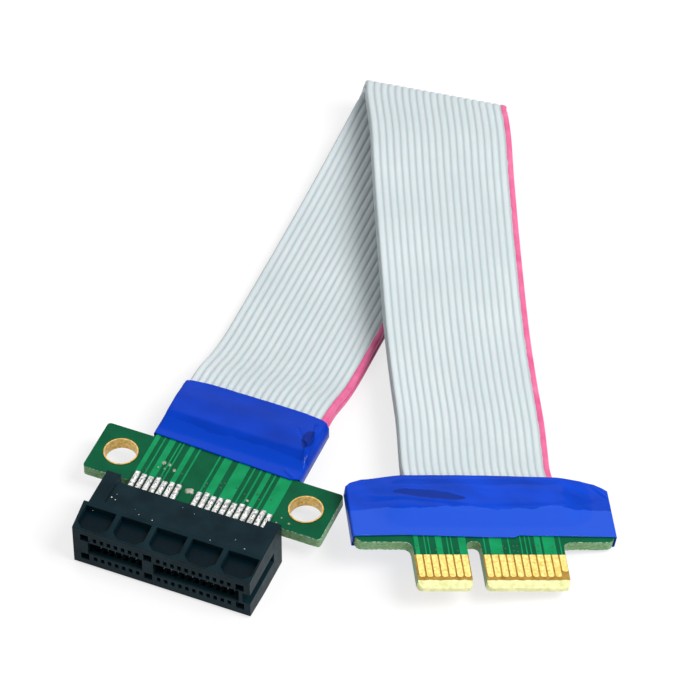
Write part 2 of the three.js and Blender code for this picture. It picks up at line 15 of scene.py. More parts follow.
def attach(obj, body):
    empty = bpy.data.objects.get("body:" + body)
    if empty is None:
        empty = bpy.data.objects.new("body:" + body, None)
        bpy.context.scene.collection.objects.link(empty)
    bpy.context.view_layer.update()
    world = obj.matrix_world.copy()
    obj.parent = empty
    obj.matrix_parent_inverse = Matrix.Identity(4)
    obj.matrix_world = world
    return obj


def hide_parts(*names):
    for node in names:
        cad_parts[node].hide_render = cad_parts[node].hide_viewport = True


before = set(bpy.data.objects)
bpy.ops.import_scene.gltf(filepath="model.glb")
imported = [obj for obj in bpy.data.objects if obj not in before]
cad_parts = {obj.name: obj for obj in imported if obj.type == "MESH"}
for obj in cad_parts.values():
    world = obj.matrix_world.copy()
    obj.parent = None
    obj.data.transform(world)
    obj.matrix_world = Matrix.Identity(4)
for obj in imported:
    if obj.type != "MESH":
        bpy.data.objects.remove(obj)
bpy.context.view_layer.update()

LOG = logging.getLogger("riser_cable")
MM = 0.001
BODY = "root"

BOARD_THICKNESS = 1.6 * MM
RIBBON_THICKNESS = 0.8 * MM
RIBBON_GAP = 0.3 * MM
RIBBON_SEAT = 0.15 * MM
CONDUCTORS = 20
CONDUCTOR_PITCH = 1.0 * MM
KEY_OFFSET = -2.05 * MM
SLOT_LEVEL = 3.7 * MM
EDGE_PLACE = Matrix.Translation((39.27 * MM, 7.65 * MM, 4.66 * MM)) @ Euler(
    (0.0, math.radians(8.0), math.radians(29.2)), "XYZ").to_matrix().to_4x4()

# Middle of the pair of ribbons in mm: x, y, z, turn and lean of the line across, lap on a board
RIBBON_ROUTE = [
    (0.00, 19.80, 3.70, 0.0, 0.0, 1), (-0.03, 22.60, 3.70, 0.0, 0.0, 1),
    (-0.05, 24.80, 3.70, 0.0, 0.0, 0.45), (-0.08, 26.80, 3.66, 0.0, 0.0, 0.1),
    (-0.10, 29.30, 3.40, 0.0, 0.0, 0), (-0.13, 31.30, 2.75, 0.0, 0.0, 0),
    (-0.15, 33.30, 2.05, 0.0, 0.0, 0), (-0.17, 35.80, 1.45, 0.0, 0.0, 0),
    (-0.21, 38.80, 1.10, 0.0, 0.0, 0), (-0.25, 42.80, 1.00, 0.0, 0.0, 0),
    (-0.31, 53.90, 1.00, 0.5, 0.2, 0), (-0.37, 65.00, 1.15, 2.0, 1.2, 0),
    (-0.42, 74.80, 1.50, 5.5, 2.6, 0), (-0.46, 82.00, 1.90, 9.5, 4.0, 0),
    (-0.49, 87.30, 2.26, 12.3, 4.8, 0), (-0.47, 88.47, 2.51, 12.3, 4.8, 0),
    (-0.35, 89.24, 3.22, 12.3, 4.8, 0), (-0.11, 89.57, 4.19, 12.3, 4.8, 0),
    (0.25, 89.37, 5.17, 12.3, 4.8, 0), (0.68, 88.72, 5.88, 12.3, 4.8, 0),
    (1.18, 87.66, 6.14, 12.3, 4.8, 0), (4.20, 81.70, 6.30, 15.5, 6.5, 0),
    (7.60, 74.20, 6.00, 19.5, 8.0, 0), (11.69, 65.45, 5.40, 23.0, 9.5, 0),
    (15.67, 57.10, 4.75, 24.5, 10.0, 0), (19.64, 48.90, 4.15, 25.5, 9.8, 0),
    (23.86, 40.72, 3.72, 27.0, 9.2, 0), (27.33, 34.25, 3.50, 28.2, 8.6, 0),
    (31.00, 26.58, 3.57, 29.2, 8.0, 0), (32.02, 24.75, 3.57, 29.2, 8.0, 0.35),
    (33.04, 22.91, 3.57, 29.2, 8.0, 1), (34.41, 20.47, 3.57, 29.2, 8.0, 1),
]


class Side(Enum):
    """Which ribbon of the pair: the one outside or inside the fold."""

    OUTER = -1
    INNER = 1


class Face(Enum):
    """The face of a board that a piece lies on."""

    TOP = 1
    UNDER = -1


class Shader:
    """A node tree under construction, with short calls for nodes and links."""

    def __init__(self, name: str) -> None:
        """Starts an empty material.

        Args:
            name: The material's name.
        """
        self.material = bpy.data.materials.new(name)
        self.material.use_nodes = True
        self.tree = self.material.node_tree
        self.tree.nodes.clear()
        self.output = self.node("ShaderNodeOutputMaterial")
        self.surface = self.node("ShaderNodeBsdfPrincipled")
        self.link(self.surface.outputs["BSDF"], self.output.inputs["Surface"])
        self.coords = self.node("ShaderNodeTexCoord").outputs["Object"]

    def node(self, kind: str, **values: object) -> bpy.types.Node:
        """Adds a node and sets its properties.

        Args:
            kind: The node's type name.
            **values: Properties to set on it.

        Returns:
            The new node.
        """
        made = self.tree.nodes.new(kind)
        for key, value in values.items():
            setattr(made, key, value)
        return made

    def link(self, start: bpy.types.NodeSocket, end: bpy.types.NodeSocket) -> None:
        """Links two sockets."""
        self.tree.links.new(start, end)

    def base(self, colour: tuple[float, float, float], roughness: float, **sockets: float) -> None:
        """Sets the shader's plain values.

        Args:
            colour: Linear base colour.
            roughness: Roughness from 0 to 1.
            **sockets: Further sockets, with underscores for spaces.
        """
        self.surface.inputs["Base Color"].default_value = (*colour, 1.0)
        self.surface.inputs["Roughness"].default_value = roughness
        for key, value in sockets.items():
            self.surface.inputs[key.replace("_", " ")].default_value = value

    def noise(self, scale: float, detail: float = 4.0, stretch: tuple[float, float, float] = (1, 1, 1),
              roughness: float = 0.5) -> bpy.types.NodeSocket:
        """Adds a noise on Object coordinates.

        Args:
            scale: Features per metre.
            detail: Octaves.
            stretch: Scale along each axis.
            roughness: Weight of the fine octaves.

        Returns:
            The noise's value.
        """
        mapping = self.node("ShaderNodeMapping")
        mapping.inputs["Scale"].default_value = stretch
        self.link(self.coords, mapping.inputs["Vector"])
        noise = self.node("ShaderNodeTexNoise")
        noise.inputs["Scale"].default_value = scale
        noise.inputs["Detail"].default_value = detail
        noise.inputs["Roughness"].default_value = roughness
        self.link(mapping.outputs["Vector"], noise.inputs["Vector"])
        return noise.outputs["Fac"]

    def ramp(self, value: bpy.types.NodeSocket, stops: list[tuple[float, tuple[float, float, float]]],
             ) -> bpy.types.NodeSocket:
        """Maps a value to a colour.

        Args:
            value: The value.
            stops: Positions and linear colours.

        Returns:
            The colour.
        """
        ramp = self.node("ShaderNodeValToRGB")
        elements = ramp.color_ramp.elements
        while len(elements) < len(stops):
            elements.new(0.5)
        for element, (place, colour) in zip(elements, stops):
            element.position = place
            element.color = (*colour, 1.0)
        self.link(value, ramp.inputs["Fac"])
        return ramp.outputs["Color"]

    def math(self, operation: str, first: object, second: object = 0.0) -> bpy.types.NodeSocket:
        """Adds a math node.

        Args:
            operation: The node's operation.
            first: A socket or a number.
            second: A socket or a number.

        Returns:
            The result.
        """
        made = self.node("ShaderNodeMath", operation=operation)
        for place, value in enumerate((first, second)):
            if isinstance(value, bpy.types.NodeSocket):
                self.link(value, made.inputs[place])
            else:
                made.inputs[place].default_value = float(value)
        return made.outputs[0]

    def mix(self, factor: bpy.types.NodeSocket, first: object, second: object) -> bpy.types.NodeSocket:
        """Mixes two colours.

        Args:
            factor: How much of the second colour.
            first: A socket or a linear colour.
            second: A socket or a linear colour.

        Returns:
            The mixed colour.
        """
        made = self.node("ShaderNodeMix", data_type="RGBA")
        self.link(factor, made.inputs["Factor"])
        for name, value in (("A", first), ("B", second)):
            socket = next(s for s in made.inputs if s.name == name and s.type == "RGBA")
            if isinstance(value, bpy.types.NodeSocket):
                self.link(value, socket)
            else:
                socket.default_value = (*value, 1.0)
        return next(s for s in made.outputs if s.type == "RGBA")

    def bump(self, height: bpy.types.NodeSocket, distance: float, strength: float = 1.0) -> None:
        """Bends the surface's normals by a height.

        Args:
            height: The height, from 0 to 1.
            distance: The height in metres at 1.
            strength: Share of the effect.
        """
        made = self.node("ShaderNodeBump")
        made.inputs["Strength"].default_value = strength
        made.inputs["Distance"].default_value = distance
        self.link(height, made.inputs["Height"])
        self.link(made.outputs["Normal"], self.surface.inputs["Normal"])

    def local(self, place: Matrix) -> tuple[bpy.types.NodeSocket, ...]:
        """Object coordinates turned into a board's own frame.

        Args:
            place: The board's place in the model's frame.

        Returns:
            The x, y and z sockets.
        """
        inverse = place.inverted()
        mapping = self.node("ShaderNodeMapping")
        mapping.inputs["Location"].default_value = inverse.to_translation()
        mapping.inputs["Rotation"].default_value = inverse.to_euler("XYZ")
        self.link(self.coords, mapping.inputs["Vector"])
        split = self.node("ShaderNodeSeparateXYZ")
        self.link(mapping.outputs["Vector"], split.inputs["Vector"])
        return tuple(split.outputs)


@dataclass(frozen=True)
class HousingPlastic:
    """Black moulded plastic with a cool tint and a fine grain, and painted shade on the floors of the pockets."""

    colour: tuple[float, float, float] = (0.0022, 0.011, 0.016)
    worn: tuple[float, float, float] = (0.006, 0.022, 0.029)
    pocket_shade: tuple[float, float, float] = (0.0, 0.006, 0.010)
    pocket_floor: float = 6.45 * MM

    def build(self) -> bpy.types.Material:
        """Makes the material."""
        shader = Shader("housing_plastic")
        shader.base(self.colour, 0.42, Specular_IOR_Level=0.07)
        moulded = shader.ramp(shader.noise(260.0, 5.0), [(0.35, self.colour), (0.75, self.worn)])
        _, _, z = shader.local(Matrix.Identity(4))
        # painted shade: the floors of the pockets are coloured darker than the rest of the plastic
        off_floor = shader.math("ABSOLUTE", shader.math("SUBTRACT", z, self.pocket_floor))
        floor = shader.math("LESS_THAN", off_floor, 0.04 * MM)
        shader.link(shader.mix(floor, moulded, self.pocket_shade), shader.surface.inputs["Base Color"])
        shader.link(shader.math("MULTIPLY_ADD", shader.noise(900.0, 3.0), 0.2), shader.surface.inputs["Roughness"])
        shader.surface.inputs["Roughness"].links[0].from_node.inputs[2].default_value = 0.34
        shader.bump(shader.noise(5200.0, 2.0), 0.00002, 0.35)
        return shader.material


@dataclass(frozen=True)
class SolderMask:
    """Green mask over glass-fibre board, with paler cut edges and a whitish speckled band painted along their rims as
    highlight.

    Attributes:
        name: The material's name.
        place: The board's frame.
        top: Level of the board's top face in that frame.
        bare_tip: Where the bare tip ends and the ground between the fingers starts.
        finger_end: Where the ground between the fingers ends.
    """

    name: str
    place: Matrix
    top: float
    bare_tip: float
    finger_end: float

    def build(self) -> bpy.types.Material:
        """Makes the material."""
        shader = Shader(self.name)
        shader.base((0.0, 0.09, 0.032), 0.34, Specular_IOR_Level=0.05, Coat_Weight=0.03, Coat_Roughness=0.1)
        _, y, z = shader.local(self.place)
        mask = shader.ramp(shader.noise(380.0, 3.0), [(0.3, (0.0, 0.070, 0.028)), (0.75, (0.0, 0.100, 0.040))])
        core = shader.ramp(shader.noise(2400.0, 2.0, (1, 1, 3)),
                           [(0.3, (0.09, 0.21, 0.09)), (0.7, (0.26, 0.40, 0.22))])
        middle = shader.math("ABSOLUTE", shader.math("SUBTRACT", z, self.top - BOARD_THICKNESS / 2))
        edge = shader.math("LESS_THAN", middle, BOARD_THICKNESS / 2 - 0.15 * MM)
        rim = shader.math("LESS_THAN", middle, BOARD_THICKNESS / 2 - 0.01 * MM)
        # painted highlight: a whitish speckled band along the top and bottom rims of the cut edge
        rim_highlight = shader.ramp(shader.noise(3000.0, 2.0), [(0.45, (0.02, 0.22, 0.09)), (0.62, (0.55, 0.66, 0.50))])
        colour = shader.mix(edge, shader.mix(rim, mask, rim_highlight), core)
        ground = shader.ramp(shader.noise(1500.0, 3.0), [(0.3, (0.24, 0.13, 0.02)), (0.7, (0.42, 0.26, 0.05))])
        fingers = shader.math("LESS_THAN", y, self.finger_end)
        on_face = shader.math("GREATER_THAN", middle, BOARD_THICKNESS / 2 - 0.1 * MM)
        colour = shader.mix(shader.math("MULTIPLY", fingers, on_face), colour, ground)
        bare = shader.ramp(shader.noise(1500.0, 3.0), [(0.3, (0.60, 0.60, 0.26)), (0.7, (0.80, 0.80, 0.44))])
        wander = shader.math("MULTIPLY", shader.noise(1200.0, 2.0), 0.0003)
        tip = shader.math("LESS_THAN", shader.math("ADD", y, wander), self.bare_tip)
        shader.link(shader.mix(tip, colour, bare), shader.surface.inputs["Base Color"])
        shader.bump(shader.noise(2600.0, 3.0), 0.00002, 0.3)
        return shader.material


@dataclass(frozen=True)
class CopperUnderMask:
    """Paler green where copper lies under the mask."""

    def build(self) -> bpy.types.Material:
        """Makes the material."""
        shader = Shader("copper_under_mask")
        shader.base((0.0, 0.22, 0.07), 0.3, Specular_IOR_Level=0.06, Coat_Weight=0.03, Coat_Roughness=0.1)
        shader.link(shader.ramp(shader.noise(500.0, 3.0), [(0.3, (0.0, 0.20, 0.065)), (0.75, (0.003, 0.27, 0.095))]),
                    shader.surface.inputs["Base Color"])
        shader.bump(shader.noise(1800.0, 3.0), 0.00002, 0.3)
        return shader.material


@dataclass(frozen=True)
class PlatedMetal:
    """Gold or tin plating with fine wear.

    Attributes:
        name: The material's name.
        low: Colour of the worn places.
        high: Colour of the clean places.
        roughness: Mean roughness.
        lumps: Height of the surface's lumps in metres.
        metallic: 1 for a metal.
    """

    name: str
    low: tuple[float, float, float]
    high: tuple[float, float, float]
    roughness: float
    lumps: float
    metallic: float = 1.0

    def build(self) -> bpy.types.Material:
        """Makes the material."""
        shader = Shader(self.name)
        shader.base(self.high, self.roughness, Metallic=self.metallic)
        shader.link(shader.ramp(shader.noise(2600.0, 4.0), [(0.32, self.low), (0.6, self.high)]),
                    shader.surface.inputs["Base Color"])
        shader.bump(shader.noise(3400.0, 3.0), self.lumps, 0.6)
        return shader.material


@dataclass(frozen=True)
class RibbonVinyl:
    """Pale grey ribbed vinyl whose last conductor is pink, with painted shade darkening the grooves between
    conductors.
    """

    grey: tuple[float, float, float] = (0.57, 0.63, 0.65)
    shade: tuple[float, float, float] = (0.50, 0.57, 0.59)
    # groove: painted shade for the grooves between conductors
    groove: tuple[float, float, float] = (0.42, 0.48, 0.50)
    pink: tuple[float, float, float] = (0.62, 0.07, 0.22)

    def build(self) -> bpy.types.Material:
        """Makes the material."""
        shader = Shader("ribbon_vinyl")
        shader.base(self.grey, 0.42, Specular_IOR_Level=0.4, Subsurface_Weight=0.08)
        shader.surface.inputs["Subsurface Scale"].default_value = 0.0004
        plain = shader.ramp(shader.noise(90.0, 5.0), [(0.3, self.shade), (0.7, self.grey)])
        split = shader.node("ShaderNodeSeparateXYZ")
        layer = shader.node("ShaderNodeUVMap", uv_map="across")
        shader.link(layer.outputs["UV"], split.inputs["Vector"])
        wander = shader.math("MULTIPLY", shader.math("SUBTRACT", shader.noise(700.0, 2.0), 0.5), 0.012)
        rib = shader.math("PINGPONG", shader.math("MULTIPLY", split.outputs["X"], CONDUCTORS), 0.5)
        # painted shade: the vinyl between the conductors' tops is coloured darker
        between = shader.ramp(rib, [(0.03, (1.0, 1.0, 1.0)), (0.27, (0.0, 0.0, 0.0))])
        plain = shader.mix(between, plain, self.groove)
        marked = shader.math("GREATER_THAN", shader.math("ADD", split.outputs["X"], wander),
                             (CONDUCTORS - 0.84) / CONDUCTORS)
        dyed = shader.ramp(shader.noise(420.0, 4.0), [(0.3, self.pink), (0.75, (0.74, 0.17, 0.33))])
        shader.link(shader.mix(marked, plain, dyed), shader.surface.inputs["Base Color"])
        shader.bump(shader.noise(1500.0, 3.0), 0.00002, 0.25)
        return shader.material


@dataclass(frozen=True)
class TapeFilm:
    """Blue glossy film tape.

    Attributes:
        name: The material's name.
        place: Frame of the board that it is wrapped round.
        deep: Colour of the rear part and the film's base colour, the darker, shaded copy of its blue: painted shade.
        lit_front: Colour of the front part, the lighter, lit copy of the same blue: painted light.
        turn: y in metres where one passes into the other.
        patch: Middle and half size of a darker patch, painted shade where the film is creased and lifted over trapped
            air, in metres, with its slope.
    """

    name: str
    place: Matrix
    deep: tuple[float, float, float]
    lit_front: tuple[float, float, float]
    turn: float
    patch: tuple[float, float, float, float, float]

    def build(self) -> bpy.types.Material:
        """Makes the material."""
        shader = Shader(self.name)
        shader.base(self.deep, 0.3, Specular_IOR_Level=0.03, Coat_Weight=0.1, Coat_Roughness=0.05)
        x, y, _ = shader.local(self.place)
        wander = shader.math("MULTIPLY", shader.math("SUBTRACT", shader.noise(260.0, 3.0), 0.5), 0.0022)
        # painted light and shade: the front part of the film is coloured lighter than the rear
        front = shader.math("LESS_THAN", shader.math("ADD", y, wander), self.turn)
        soft = shader.ramp(shader.noise(160.0, 3.0, (1, 2.0, 1)), [
            (0.3, tuple(0.85 * c for c in self.deep)), (0.75, tuple(1.2 * c for c in self.deep))])
        colour = shader.mix(front, soft, self.lit_front)
        middle_x, middle_y, half_x, half_y, slope = self.patch
        across = shader.math("SUBTRACT", x, middle_x)
        bowed = shader.math("SUBTRACT", shader.math("SUBTRACT", y, middle_y), shader.math("MULTIPLY", across, slope))
        spread = shader.math("ADD", shader.math("POWER", shader.math("ABSOLUTE", shader.math(
            "DIVIDE", across, half_x)), 2.0), shader.math("POWER", shader.math("ABSOLUTE", shader.math(
                "DIVIDE", bowed, half_y)), 2.0))
        ragged = shader.math("ADD", spread, shader.math("MULTIPLY", shader.noise(900.0, 2.0), 0.8))
        # painted shade: a darker patch where the film is creased and lifted
        patch_shade = shader.math("LESS_THAN", ragged, 1.35)
        dark = tuple(0.55 * c for c in self.deep)
        shader.link(shader.mix(patch_shade, colour, dark), shader.surface.inputs["Base Color"])
        shader.bump(shader.noise(420.0, 3.0, (1, 1.6, 1)), 0.00008, 0.3)
        return shader.material


@dataclass(frozen=True)
class WhiteTable:
    """The floor: white to the camera, with the object's soft shadow kept."""

    def build(self) -> bpy.types.Material:
        """Makes the material."""
        shader = Shader("white_table")
        shader.base((0.93, 0.93, 0.93), 0.9, Specular_IOR_Level=0.1)
        tint = shader.ramp(shader.noise(14.0, 2.0), [(0.3, (0.92, 0.92, 0.92)), (0.7, (0.94, 0.94, 0.94))])
        shader.link(tint, shader.surface.inputs["Base Color"])
        glow = shader.node("ShaderNodeEmission")
        glow.inputs["Strength"].default_value = 1.0
        path = shader.node("ShaderNodeLightPath")
        seen = shader.math("MAXIMUM", path.outputs["Is Camera Ray"],
                           shader.math("MAXIMUM", path.outputs["Is Glossy Ray"], path.outputs["Is Transmission Ray"]))
        share = shader.math("MULTIPLY", seen, 0.72)
        blend = shader.node("ShaderNodeMixShader")
        shader.link(share, blend.inputs["Fac"])
        shader.link(shader.surface.outputs["BSDF"], blend.inputs[1])
        shader.link(glow.outputs["Emission"], blend.inputs[2])
        shader.link(blend.outputs["Shader"], shader.output.inputs["Surface"])
        return shader.material


def new_piece(name: str, mesh: bmesh.types.BMesh, material: bpy.types.Material,
              smooth: bool = True) -> bpy.types.Object:
    """Turns a bmesh into a piece that rides on the object's body.

    Args:
        name: The piece's name.
        mesh: Its shape, which is freed.
        material: Its material.
        smooth: Whether its faces are shaded smooth.

    Returns:
        The new object.
    """
    data = bpy.data.meshes.new(name)
    mesh.to_mesh(data)
    mesh.free()
    data.materials.append(material)
    data.polygons.foreach_set("use_smooth", [smooth] * len(data.polygons))
    piece = bpy.data.objects.new(name, data)
    bpy.context.scene.collection.objects.link(piece)
    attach(piece, BODY)
    LOG.info("%s: %d faces", name, len(data.polygons))
    return piece


def add_block(mesh: bmesh.types.BMesh, low: tuple[float, float, float], high: tuple[float, float, float],
              round_by: float = 0.0, segments: int = 2) -> list[bmesh.types.BMVert]:
    """Adds a block with rounded edges.

    Args:
        mesh: The bmesh to add to.
        low: Lowest corner.
        high: Highest corner.
        round_by: Radius of the edges.
        segments: Faces across each rounded edge.

    Returns:
        The block's vertices.
    """
    size = [h - l for l, h in zip(low, high)]
    middle = [(h + l) / 2 for l, h in zip(low, high)]
    place = Matrix.Translation(middle) @ Matrix.Diagonal((*size, 1.0))
    verts = bmesh.ops.create_cube(mesh, size=1.0, matrix=place)["verts"]
    if round_by > 0:
        edges = list({e for v in verts for e in v.link_edges})
        made = bmesh.ops.bevel(mesh, geom=edges, offset=round_by, offset_type="OFFSET", affect="EDGES",
                               segments=segments, profile=0.5, material=-1)
        verts = list({v for f in made["faces"] for v in f.verts})
    return verts


def smooth_step(low: float, high: float, value: float) -> float:
    """Rises smoothly from 0 at low to 1 at high.

    Args:
        low: Where the rise starts.
        high: Where it ends.
        value: The place.

    Returns:
        A share from 0 to 1.
    """
    t = min(max((value - low) / (high - low), 0.0), 1.0)
    return t * t * (3 - 2 * t)


def ridge(x: float, y: float, line: list[tuple[float, float]], width: float) -> float:
    """Height share of a crease that follows a line.

    Args:
        x: Place along x.
        y: Place along y.
        line: Points of the line.
        width: Half the crease's width.

    Returns:
        1 on the line, falling to 0.
    """
    nearest = 1e9
    for (ax, ay), (bx, by) in zip(line, line[1:]):
        dx, dy = bx - ax, by - ay
        t = min(max(((x - ax) * dx + (y - ay) * dy) / (dx * dx + dy * dy), 0.0), 1.0)
        nearest = min(nearest, math.hypot(x - ax - t * dx, y - ay - t * dy))
    return math.exp(-(nearest / width) ** 2)


def extrude_rings(mesh: bmesh.types.BMesh, rings: list[list[Vector]]) -> list[list[bmesh.types.BMVert]]:
    """Draws a closed ring out through a row of places.

    Args:
        mesh: The bmesh to build in.
        rings: Places of the ring's vertices at each station.

    Returns:
        The vertices of each ring.
    """
    ring = [mesh.verts.new(place) for place in rings[0]]
    count = len(ring)
    edges = [mesh.edges.new((ring[k], ring[(k + 1) % count])) for k in range(count)]
    made_rings = [ring]
    for places in rings[1:]:
        made = bmesh.ops.extrude_edge_only(mesh, edges=edges)["geom"]
        fresh = {item for item in made if isinstance(item, bmesh.types.BMVert)}
        ring = [next(e.other_vert(v) for e in v.link_edges if e.other_vert(v) in fresh) for v in ring]
        for vert, place in zip(ring, places):
            vert.co = place
        edges = [mesh.edges.get((ring[k], ring[(k + 1) % count])) for k in range(count)]
        made_rings.append(ring)
    return made_rings


@dataclass
class Station:
    """One place along a ribbon's route."""

    point: Vector
    across: Vector
    normal: Vector


@dataclass
class RibbonPair:
    """The two ribbon cables, each with ribbed conductors.

    Attributes:
        steps: Stations for each stretch of the route.
        rib_sides: Points across each conductor's top.
        groove: Depth of the grooves between conductors.
    """

    steps: int = 6
    rib_sides: int = 6
    groove: float = 0.27 * MM
    finish: RibbonVinyl = field(default_factory=RibbonVinyl)

    def along(self, index: int, part: float) -> tuple[Vector, Vector, tuple[float, float, float]]:
        """Place, direction and settings on one stretch of the route.

        Args:
            index: The stretch.
            part: How far along it, from 0 to 1.

        Returns:
            The point, the direction, and turn, lean and lap.
        """
        last = len(RIBBON_ROUTE) - 1
        rows = [RIBBON_ROUTE[min(max(index + k, 0), last)] for k in (-1, 0, 1, 2)]
        before, start, end, after = (Vector(row[:3]) * MM for row in rows)
        if index == 0:
            before = 2 * start - end
        if index + 2 > last:
            after = 2 * end - start
        gaps = [max((b - a).length, 1e-9) ** 0.5 for a, b in ((before, start), (start, end), (end, after))]
        first = ((start - before) / gaps[0] - (end - before) / (gaps[0] + gaps[1]) + (end - start) / gaps[1]) * gaps[1]
        second = ((end - start) / gaps[1] - (after - start) / (gaps[1] + gaps[2]) + (after - end) / gaps[2]) * gaps[1]
        t = part
        point = (start * (2 * t ** 3 - 3 * t ** 2 + 1) + first * (t ** 3 - 2 * t ** 2 + t)
                 + end * (3 * t ** 2 - 2 * t ** 3) + second * (t ** 3 - t ** 2))
        tangent = (start * (6 * t ** 2 - 6 * t) + first * (3 * t ** 2 - 4 * t + 1)
                   + end * (6 * t - 6 * t ** 2) + second * (3 * t ** 2 - 2 * t)).normalized()
        settings = tuple(a + (b - a) * t for a, b in zip(rows[1][3:], rows[2][3:]))
        return point, tangent, settings

    def stations(self, side: Side) -> list[Station]:
        """All places along one ribbon.

        Args:
            side: Which ribbon.

        Returns:
            The stations in order.
        """
        lap = (BOARD_THICKNESS + RIBBON_THICKNESS) / 2 + RIBBON_SEAT
        stack = (RIBBON_THICKNESS + RIBBON_GAP) / 2
        places = [(i, k / self.steps) for i in range(len(RIBBON_ROUTE) - 1) for k in range(self.steps)]
        places.append((len(RIBBON_ROUTE) - 2, 1.0))
        found = []
        for index, part in places:
            point, tangent, (turn, lean, lapped) = self.along(index, part)
            turn, lean = math.radians(turn), math.radians(lean)
            across = Vector((math.cos(lean) * math.cos(turn), math.cos(lean) * math.sin(turn), -math.sin(lean)))
            skew = tangent.dot(across)
            normal = across.cross(tangent).normalized()
            point = point + normal * side.value * (stack + (lap - stack) * lapped)
            found.append(Station(point, across / math.sqrt(1 - skew * skew), normal))
        return found

    def section(self) -> list[tuple[float, float, float]]:
        """The ribbed outline across a ribbon.

        Returns:
            Points as distance across, height, and share of the width.
        """
        half = RIBBON_THICKNESS / 2
        top = []
        for conductor in range(CONDUCTORS):
            middle = (conductor + 0.5 - CONDUCTORS / 2) * CONDUCTOR_PITCH
            for k in range(self.rib_sides):
                angle = math.pi * (1 - (k + 0.5) / self.rib_sides)
                reach = CONDUCTOR_PITCH / 2 * math.cos(angle)
                height = half - self.groove * (1 - math.sin(angle) ** 0.8)
                top.append((middle + reach, height, (conductor + 0.5 + math.cos(angle) / 2) / CONDUCTORS))
        under = [(x, -z, u) for x, z, u in reversed(top)]
        end = CONDUCTORS * CONDUCTOR_PITCH / 2
        return top + [(end, 0.0, 1.0)] + under + [(-end, 0.0, 0.0)]

    def build_one(self, side: Side, material: bpy.types.Material) -> bpy.types.Object:
        """Sweeps the section along one ribbon's stations.

        Args:
            side: Which ribbon.
            material: Its vinyl.

        Returns:
            The ribbon.
        """
        stations, section = self.stations(side), self.section()
        places = [[s.point + s.across * x + s.normal * z for x, z, _ in section] for s in stations]
        mesh = bmesh.new()
        layer = mesh.loops.layers.uv.new("across")
        rings = extrude_rings(mesh, places)
        for loop in (rings[0], rings[-1]):
            mesh.faces.new(loop)
        bmesh.ops.recalc_face_normals(mesh, faces=mesh.faces[:])
        shares = {vert: (share, i / len(rings)) for i, ring in enumerate(rings)
                  for vert, (_, _, share) in zip(ring, section)}
        for face in mesh.faces:
            for corner in face.loops:
                corner[layer].uv = shares[corner.vert]
        name = f"{side.name.lower()}_ribbon_vinyl"
        piece = new_piece(name, mesh, material)
        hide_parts(f"{side.name.lower()}_ribbon")
        return piece

    def build(self) -> None:
        """Makes both ribbons."""
        material = self.finish.build()
        for side in Side:
            self.build_one(side, material)


